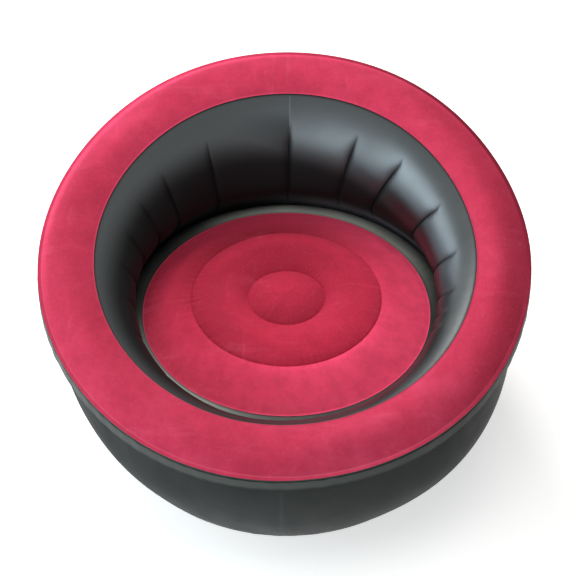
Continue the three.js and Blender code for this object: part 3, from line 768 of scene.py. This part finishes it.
# Seat
def seat_side():
    a = azimuths(LOW_COUNT)[:, None]
    top = SEAT_HEIGHT - LAYER
    bottom = SEAM_HEIGHT - FILM_GAP
    turn = np.linspace(0, math.pi / 2, SHOULDER_ROWS)
    radius = SEAT_RADIUS + (SHOULDER_RADIUS - SEAT_RADIUS) * np.sin(turn) ** SHOULDER_FULLNESS
    height = bottom + (top - bottom) * np.cos(turn) ** SHOULDER_FULLNESS
    inner_flange = SEAT_RADIUS - np.linspace(WELD, 1, 4)
    outer_flange = np.linspace(SHOULDER_RADIUS + 0.5, SEAM_RADIUS + WELD, 5)
    radius = np.concatenate([inner_flange, radius, outer_flange])
    height = np.concatenate([np.full(4, top), height, np.full(5, bottom)])
    ring = radius[None, :] + 0 * a
    inside = eased(SEAT_RADIUS, SEAT_RADIUS + 12, ring)
    inside = inside * (1 - eased(SHOULDER_RADIUS - 22, SHOULDER_RADIUS - 5, ring))
    rise = height[None, :] + inside * (SIDE_PUCKER * ripples(a, 50, 110) + SIDE_WAVE * ripples(a, 4, 14))
    # Painted light: a pale strip round the seat's shoulder, lightest at the back and at the front left
    back_painted_light = 1.2 * towards(a, 17, 50, 4) * (0.74 - 0.26 * np.sin(a - math.pi))
    painted_light = back_painted_light + 0.85 * towards(a, -140, 26) + 0.05
    painted_light_strip = eased(SEAT_RADIUS - 1, SEAT_RADIUS + 3, ring) * painted_light
    piece = film_mesh("seat_side_skin", place(a, ring, rise, 1.0), {"matt_painted_light": painted_light_strip})
    dress(piece, OUTSIDE, "black_film", "seat_side_band", fill=0.9)


def puff_line(start, end, swell, start_turn, count, skew=1.0):
    """Radius and height of the film between two welds, each (radius, height).

    It rises by swell between them. It starts start_turn radians into its half turn, so at pi / 2 on its
    crest, and a skew over 1 moves the crest outwards.
    """
    share = np.linspace(0, 1, count)[1:]
    share = share - 0.5 * np.sin(2 * math.pi * share) / (2 * math.pi)
    turn = start_turn + (math.pi - start_turn) * share ** skew
    radius = start[0] + (end[0] - start[0]) * share
    height = start[1] + (end[1] - start[1]) * share + swell * np.abs(np.sin(turn)) ** PUFF_POWER
    return radius, height


def outer_ring_line(start, end, count):
    """Radius and height over the outer ring, from the groove, where it climbs, to the seat's edge."""
    share = np.linspace(0, 1, count)[1:] ** OUTER_CROWDING
    radius = start[0] + (end[0] - start[0]) * share
    puff = OUTER_PUFF * (1 - np.exp(-share / OUTER_RISE)) * (1 - share ** OUTER_FALL)
    return radius, start[1] + (end[1] - start[1]) * share + puff


def seat_top():
    a = azimuths(SEAT_COUNT)[:, None]
    half = RING_WELD / 2
    edge = SEAT_RADIUS - SEAT_EDGE_WELD
    centre, middle = CENTRE_RING[0], MIDDLE_RING[0]
    centre_top, middle_top = CENTRE_RING[1] - GROOVE_DEPTH, MIDDLE_RING[1] - GROOVE_DEPTH
    centre_weld, middle_weld = (centre - half, centre_top), (middle - half, middle_top)
    flat = np.linspace(-half, half, 5)[1:]
    stretches = [
        (np.array([0.0]), np.array([CENTRE_RING[1] + CENTRE_PUFF])),
        puff_line((0, centre_top), centre_weld, CENTRE_PUFF + GROOVE_DEPTH, math.pi / 2, CENTRE_ROWS),
        (centre + flat, np.full(4, centre_top)),
        puff_line((centre + half, centre_top), middle_weld, MIDDLE_PUFF, 0, RING_ROWS, MIDDLE_SKEW),
        (middle + flat, np.full(4, middle_top)),
        outer_ring_line((middle + half, middle_top), (edge, SEAT_HEIGHT), RING_ROWS),
        (np.linspace(edge, SEAT_RADIUS, 4)[1:], np.full(3, SEAT_HEIGHT)),
    ]
    radius = np.concatenate([stretch[0] for stretch in stretches])[None, :]
    height = np.concatenate([stretch[1] for stretch in stretches])[None, :] + 0 * a
    calm = np.ones_like(radius)
    for ring, width in ((centre, half), (middle, half), (edge + SEAT_EDGE_WELD / 2, SEAT_EDGE_WELD / 2)):
        away = np.maximum(np.abs(radius - ring) - width, 0)
        height = height + SEAT_PUCKER * np.exp(-away / 12.0) * eased(0, 3, away) * ripples(a, 40, 100)
        calm = calm * eased(0, 14, away)
    height = height + SEAT_SWELL * undulation(a, radius / SEAT_RADIUS) * calm * eased(5, 60, radius)
    points = place(a, radius, height, 1.0)
    line = np.exp(-((radius - SEAT_RADIUS) / 1.0) ** 2)
    sunny = 0.5 + 0.5 * np.cos(a - math.radians(45))
    back = 0.5 - 0.5 * np.cos(a)
    on_outer = eased(middle - half, middle + half, radius)
    on_middle = eased(centre - 2, centre + 3, radius) * (1 - on_outer)
    groove_side = 1 - eased(middle + 8, middle + 50, radius)
    rim_side = eased(middle + 32, SEAT_RADIUS - 12, radius)
    # Painted light and shade on the seat's red: paler on the outer ring towards the front right, darker at
    # the back and the left where the walls shade it, at the dome's front and in the grooves
    outer_painted_light = 0.10 + 0.22 * towards(a, 138, 36) + 0.75 * sunny ** 1.2
    outer_painted_light = outer_painted_light + 0.75 * rim_side * towards(a, 42, 36) - 0.12 * groove_side
    outer_painted_shade = 0.30 * (1 - sunny) ** 2 + 0.75 * groove_side * back ** 2
    outer_painted_shade = outer_painted_shade + 0.75 * rim_side * towards(a, -112, 50)
    middle_painted_shade = 0.55 * back * (1 - eased(130, 168, radius))
    middle_painted_shade = middle_painted_shade + 0.5 * towards(a, -115, 55) * eased(115, 160, radius)
    centre_painted_shade = (0.12 + 0.52 * (1 - back)) * (0.5 + 0.5 * eased(20, 70, radius))
    centre_painted_shade = centre_painted_shade * (1 - eased(centre - 3, centre + 1, radius))
    grooves = np.exp(-((radius - middle) / 2.2) ** 2) + 0.7 * np.exp(-((radius - centre) / 2.2) ** 2)
    masks = {
        "weld_line_and_highlight": 0.8 * line,
        "deep_dye": 0.5 + 0.5 * grooves + 0 * a,
        "flock_painted_light": on_outer * outer_painted_light,
        "flock_painted_shade": on_outer * outer_painted_shade + on_middle * middle_painted_shade + centre_painted_shade + 0.35 * grooves,
    }
    piece = film_mesh("seat_top_skin", points, masks)
    dress(piece, RED, "red_flock", "seat_top_panel", fill=0.9)


def base():
    a = azimuths(LOW_COUNT)[:, None]
    radius = np.concatenate([[0.0], np.linspace(12, FLOOR_RADIUS, BASE_ROWS)])[None, :]
    points = place(a, radius, np.full_like(a, FILM), 1.0)
    piece = film_mesh("base_skin", points)
    dress(piece, OUTSIDE, "black_film", "base_panel", fill=0.9)


rim_panel()
lip_band()
inner_wall()
outer_wall()
seat_side()
seat_top()
base()

CAD_FINISHES = {"black_film": OUTSIDE, "red_flock": RED, "valve_plastic": PLASTIC, "valve_rubber": RUBBER}
for row in frame["record"]["subparts"]:
    node = frame["nodes"][row["node"]]
    node.data.materials.clear()
    node.data.materials.append(CAD_FINISHES[row["material_slot"]])

# Stage: a pale floor that keeps the sofa's shadow, and fades to white round it; sizes in metres
FLOOR_SIZE = 14.0
FLOOR_DROP = 0.0005
FLOOR_COLOUR = (0.92, 0.90, 0.87, 1)
FLOOR_FADE = (1.0, 2.6)
BACKDROP_WHITE = 1.0
FLOOR_LIFT = 0.6
AMBIENT = 0.1
LIGHT_TARGET = Vector((0, 0, 0.35))
WARM = (1.0, 0.99, 0.97)
COOL = (0.78, 0.92, 1.0)


def seen_directly(tree):
    """1 for camera, glossy and transmission rays, 0 for the rays that light the sofa."""
    path = tree.nodes.new("ShaderNodeLightPath")
    seen = path.outputs["Is Camera Ray"]
    for label in ("Is Glossy Ray", "Is Transmission Ray"):
        either = tree.nodes.new("ShaderNodeMath")
        either.operation = "MAXIMUM"
        tree.links.new(seen, either.inputs[0])
        tree.links.new(path.outputs[label], either.inputs[1])
        seen = either.outputs[0]
    return seen


def stage_floor():
    bpy.ops.mesh.primitive_plane_add(size=FLOOR_SIZE)
    floor = bpy.context.object
    floor.name = "stage_floor"
    floor.location.z = -FLOOR_DROP
    material = bpy.data.materials.new("stage_floor_pale")
    material.use_nodes = True
    tree = material.node_tree
    shader = tree.nodes["Principled BSDF"]
    shader.inputs["Base Color"].default_value = FLOOR_COLOUR
    shader.inputs["Roughness"].default_value = 0.9
    shader.inputs["Specular IOR Level"].default_value = 0.1
    distance = tree.nodes.new("ShaderNodeVectorMath")
    distance.operation = "LENGTH"
    tree.links.new(tree.nodes.new("ShaderNodeNewGeometry").outputs["Position"], distance.inputs[0])
    far = tree.nodes.new("ShaderNodeMapRange")
    far.interpolation_type = "SMOOTHSTEP"
    far.inputs["From Min"].default_value = FLOOR_FADE[0]
    far.inputs["From Max"].default_value = FLOOR_FADE[1]
    far.inputs["To Min"].default_value = FLOOR_LIFT
    tree.links.new(distance.outputs["Value"], far.inputs["Value"])
    lift = tree.nodes.new("ShaderNodeMath")
    lift.operation = "MULTIPLY"
    tree.links.new(far.outputs["Result"], lift.inputs[1])
    tree.links.new(seen_directly(tree), lift.inputs[0])
    shader.inputs["Emission Color"].default_value = (1, 1, 1, 1)
    tree.links.new(lift.outputs[0], shader.inputs["Emission Strength"])
    floor.data.materials.append(material)


def world_light():
    world = bpy.data.worlds.new("studio")
    bpy.context.scene.world = world
    world.use_nodes = True
    tree = world.node_tree
    background = tree.nodes["Background"]
    background.inputs["Color"].default_value = (1, 1, 1, 1)
    strength = tree.nodes.new("ShaderNodeMapRange")
    strength.inputs["To Min"].default_value = AMBIENT
    strength.inputs["To Max"].default_value = BACKDROP_WHITE
    tree.links.new(seen_directly(tree), strength.inputs["Value"])
    tree.links.new(strength.outputs["Result"], background.inputs["Strength"])


def area_light(name, power, where, size, tint):
    """A lamp aimed at the sofa: where gives its angle from the back towards +X, elevation and distance."""
    azimuth, elevation = (math.radians(angle) for angle in where[:2])
    flat = math.cos(elevation)
    outwards = Vector((math.sin(azimuth) * flat, math.cos(azimuth) * flat, math.sin(elevation)))
    lamp = bpy.data.lights.new(name, "AREA")
    lamp.shape = "RECTANGLE"
    lamp.size, lamp.size_y = size
    lamp.energy = power
    lamp.color = tint
    holder = bpy.data.objects.new(name, lamp)
    bpy.context.scene.collection.objects.link(holder)
    holder.location = LIGHT_TARGET + outwards * where[2]
    holder.rotation_euler = (-outwards).to_track_quat("-Z", "Y").to_euler()


# The photograph's view: a camera 2.75 m away, with its frame of 576 pixels
CAMERA_TARGET = Vector((0, 0, 0.3))
CAMERA_DISTANCE = 2.75
CAMERA_ELEVATION = math.radians(44.21)
CAMERA_AZIMUTH = math.radians(1.2)
CAMERA_LENS = 84.98
CAMERA_SENSOR = 36
FRAME_PIXELS = 576
OFFSET_PIXELS = (-1.5, 5.0)


def camera():
    data = bpy.data.cameras.new("photo_view")
    holder = bpy.data.objects.new("photo_view", data)
    bpy.context.scene.collection.objects.link(holder)
    flat = math.cos(CAMERA_ELEVATION)
    across, back = math.sin(CAMERA_AZIMUTH) * flat, -math.cos(CAMERA_AZIMUTH) * flat
    away = Vector((across, back, math.sin(CAMERA_ELEVATION)))
    holder.location = CAMERA_TARGET + away * CAMERA_DISTANCE
    holder.rotation_euler = (-away).to_track_quat("-Z", "Y").to_euler()
    data.sensor_width = CAMERA_SENSOR
    data.lens = CAMERA_LENS
    data.shift_x = -OFFSET_PIXELS[0] / FRAME_PIXELS
    data.shift_y = OFFSET_PIXELS[1] / FRAME_PIXELS
    bpy.context.scene.camera = holder


stage_floor()
world_light()
area_light("sky_back", 78, (-25, 45, 3.2), (1.8, 1.5), WARM)
area_light("sky_above", 32, (180, 86, 2.8), (1.8, 1.5), WARM)
area_light("window_left", 104, (-92, 7, 3.1), (3.0, 1.2), COOL)
area_light("window_back_left", 46, (-55, 9, 3.1), (2.0, 0.9), COOL)
area_light("window_front_left", 20, (-140, 7, 3.1), (2.2, 0.7), COOL)
area_light("strip_front", 13, (-168, 4, 3.1), (2.4, 0.4), COOL)
camera()

bpy.context.scene.view_settings.view_transform = "Standard"
